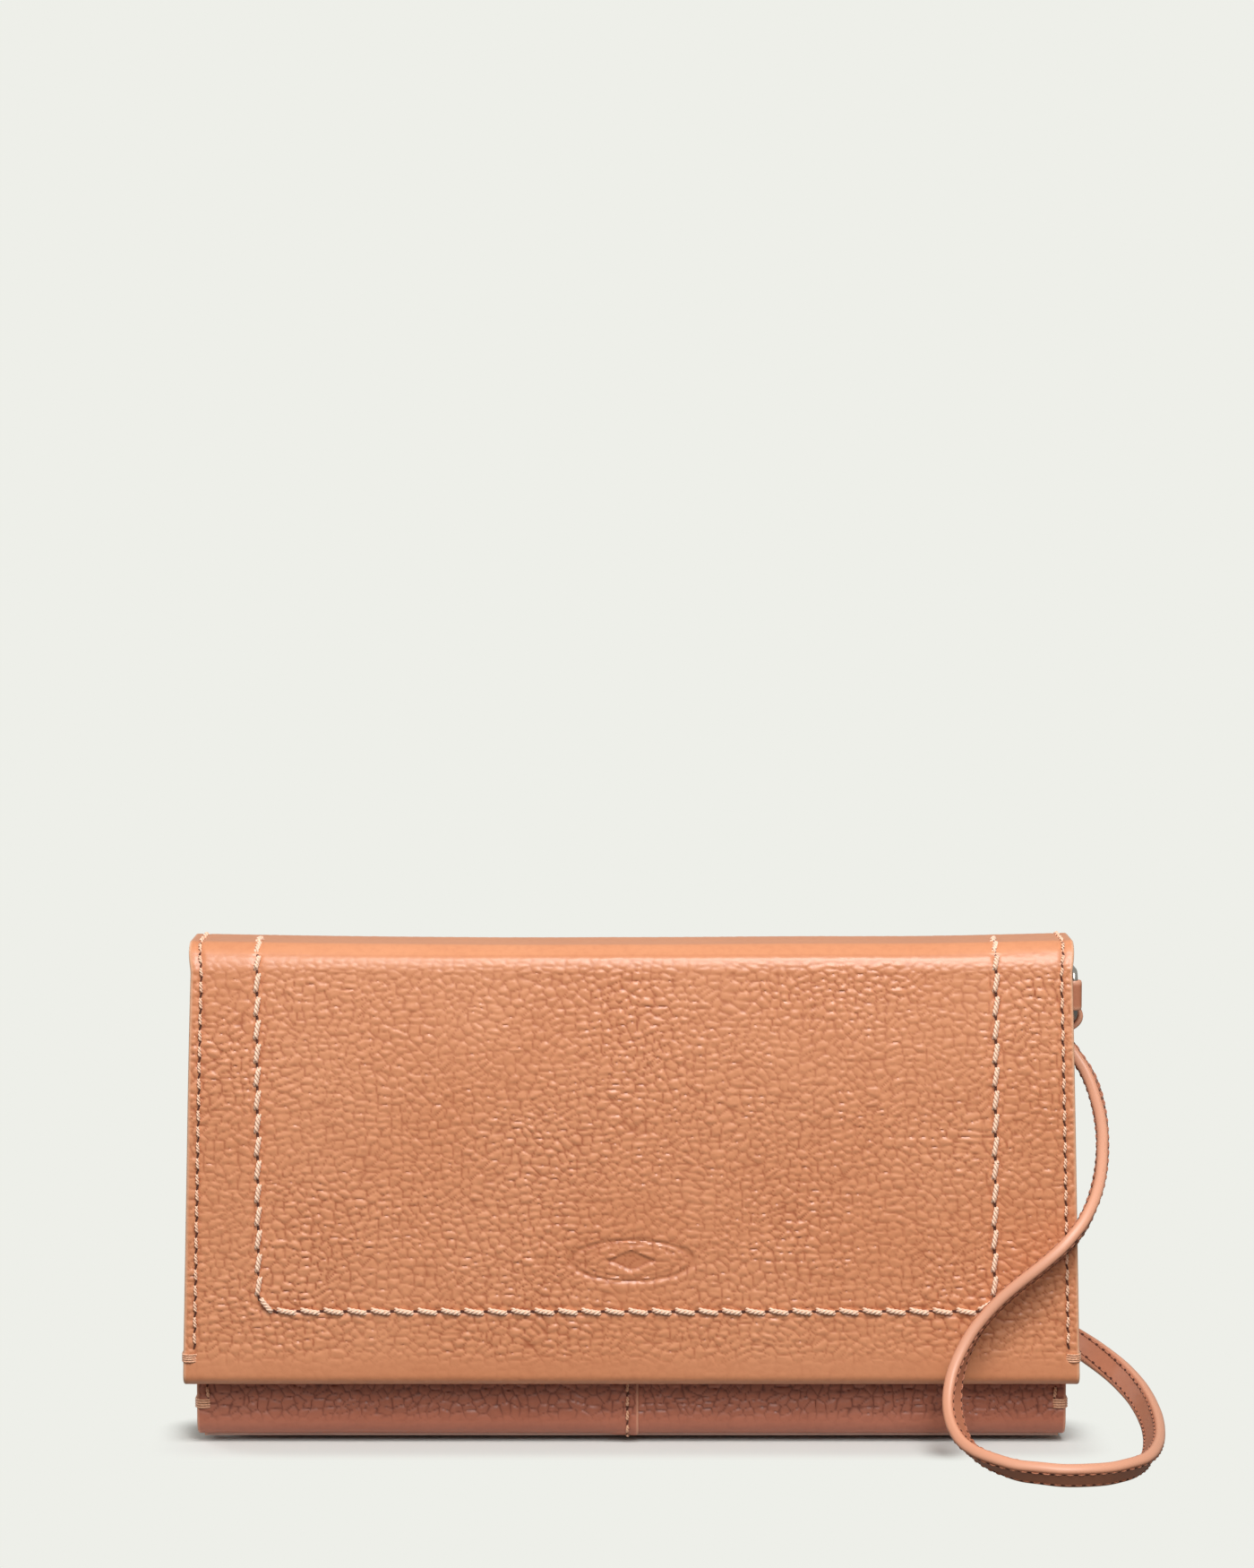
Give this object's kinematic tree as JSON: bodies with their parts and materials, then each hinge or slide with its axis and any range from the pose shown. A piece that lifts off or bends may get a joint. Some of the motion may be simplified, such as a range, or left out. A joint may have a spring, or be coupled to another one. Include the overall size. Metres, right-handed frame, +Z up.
{
  "type": "long wallet",
  "caption": "Long flap wallet of pebbled leather: folding spine, card pockets, zipped coin compartment, note compartment, snap closure and a looped wrist strap on a side ring.",
  "frame": {"origin": "middle of the footprint of the wallet without its strap, on the surface that it stands on", "axes": "+X to the right seen from the flap side, +Y from the flap to the back, +Z up to the spine"},
  "size_m": [0.2219, 0.0804, 0.115],
  "materials": {
    "outer_leather": "pebbled, satin",
    "lining_leather": "smooth, matt",
    "strap_leather": "smooth, satin",
    "stiffener": "matt",
    "padding": "matt felt",
    "nickel": "polished nickel plate",
    "zip_tape": "woven tape",
    "zip_coil": "nylon coil"
  },
  "bodies": {
    "case": {"back_leather": "outer_leather", "back_board": "stiffener", "back_lining": "lining_leather", "pouch_left": "outer_leather", "pouch_right": "outer_leather", "card_pocket_left_1": "lining_leather", "card_pocket_left_2": "lining_leather", "card_pocket_left_3": "lining_leather", "card_pocket_right_1": "lining_leather", "card_pocket_right_2": "lining_leather", "card_pocket_right_3": "lining_leather", "coin_wall": "lining_leather", "coin_gusset_left": "lining_leather", "coin_gusset_right": "lining_leather", "snap_stud": "nickel", "zip_tape_front": "zip_tape", "zip_tape_rear": "zip_tape", "zip_coil_front": "zip_coil", "zip_coil_rear": "zip_coil", "zip_stop_closed_end": "nickel", "zip_stop_open_end": "nickel", "note_gusset_left": "lining_leather", "note_gusset_right": "lining_leather", "note_floor": "lining_leather", "ring_tab": "outer_leather", "wrist_strap": "strap_leather"},
    "spine": {"spine_leather": "outer_leather", "spine_lining": "lining_leather"},
    "flap": {"flap_leather": "outer_leather", "flap_padding": "padding", "flap_board": "stiffener", "flap_lining": "lining_leather", "snap_socket": "nickel"},
    "slider": {"zip_slider": "nickel", "zip_pull_pin": "nickel"},
    "pull": {"zip_pull": "nickel"},
    "ring": {"strap_ring": "nickel", "strap_end": "strap_leather"}
  },
  "joints": [
    {"name": "spine_fold", "type": "hinge", "parent": "case", "child": "spine", "pos_m": [0, 0.01145, 0.11295], "axis": [-1, 0, 0], "range_deg": [0, 90]},
    {"name": "flap_fold", "type": "hinge", "parent": "spine", "child": "flap", "pos_m": [0, -0.01145, 0.11295], "axis": [-1, 0, 0], "range_deg": [0, 90], "deforming": ["wrist_strap"]},
    {"name": "zip_slide", "type": "slide", "parent": "case", "child": "slider", "axis": [1, 0, 0], "range_m": [-0.165, 0]},
    {"name": "zip_pull_swing", "type": "hinge", "parent": "slider", "child": "pull", "pos_m": [0.082, 0.0015, 0.0954], "axis": [0, 1, 0], "range_deg": [0, 180]},
    {"name": "ring_swing", "type": "hinge", "parent": "case", "child": "ring", "pos_m": [0.1012, 0.01175, 0.1], "axis": [0, 0, 1], "range_deg": [-60, 0], "deforming": ["wrist_strap"]}
  ]
}
